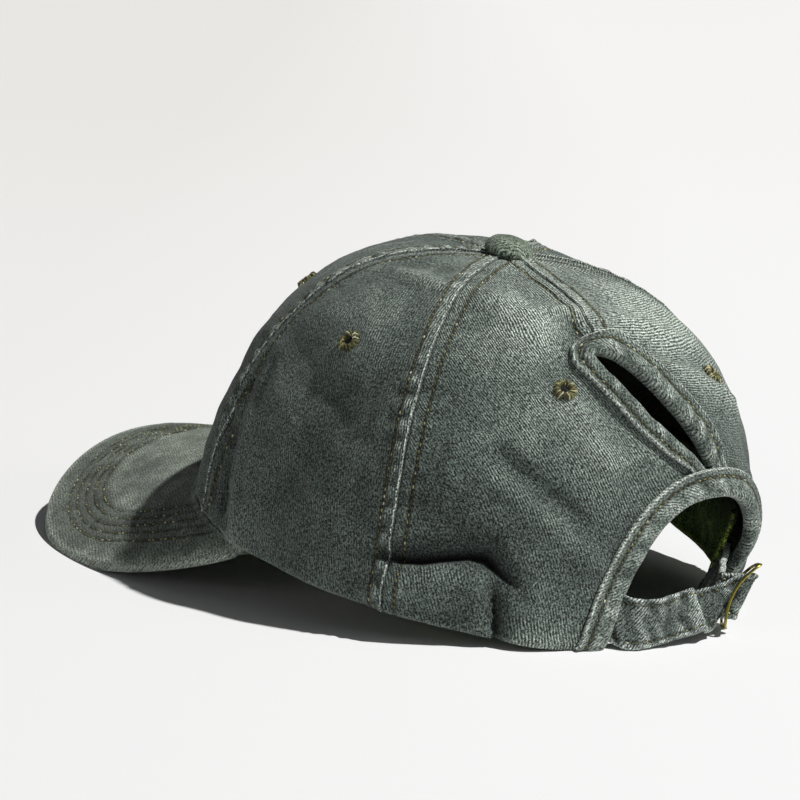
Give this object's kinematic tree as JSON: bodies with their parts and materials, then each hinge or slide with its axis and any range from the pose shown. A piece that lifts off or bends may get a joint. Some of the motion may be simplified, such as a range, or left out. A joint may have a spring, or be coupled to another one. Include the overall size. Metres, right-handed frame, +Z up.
{
  "type": "baseball cap",
  "caption": "Soft washed twill baseball cap with a curved bill, a rear arch and ponytail slit, and a cloth strap in a metal slide.",
  "frame": {"origin": "middle of the whole cap's box, on the floor that it rests on", "axes": "+Z up, -Y the way the bill points, +X the wearer's left"},
  "size_m": [0.1772, 0.2656, 0.1078],
  "materials": {
    "crown_twill": "washed grey-green cotton twill, matte, paler where it is worn",
    "bill_twill": "washed grey-green cotton twill over a stiff board, matte",
    "button_twill": "washed cotton twill pulled over a dome, matte",
    "sweatband_cotton": "dark green cotton, matte",
    "binding_twill": "folded twill strip, worn pale along its edge, matte",
    "strap_twill": "doubled washed twill, crumpled, matte",
    "eyelet_thread": "olive cotton thread, satin",
    "slide_brass": "thin antiqued brass, satin"
  },
  "bodies": {
    "root": {"panel_front_left": "crown_twill", "panel_front_right": "crown_twill", "panel_side_left": "crown_twill", "panel_side_right": "crown_twill", "panel_back_left": "crown_twill", "panel_back_right": "crown_twill", "bill": "bill_twill", "top_button": "button_twill", "sweatband": "sweatband_cotton", "arch_binding": "binding_twill", "slit_binding": "binding_twill", "strap": "strap_twill", "strap_tab": "strap_twill", "buckle": "slide_brass", "eyelet_front_left": "eyelet_thread", "eyelet_front_right": "eyelet_thread", "eyelet_side_left": "eyelet_thread", "eyelet_side_right": "eyelet_thread", "eyelet_back_left": "eyelet_thread", "eyelet_back_right": "eyelet_thread"}
  },
  "joints": []
}
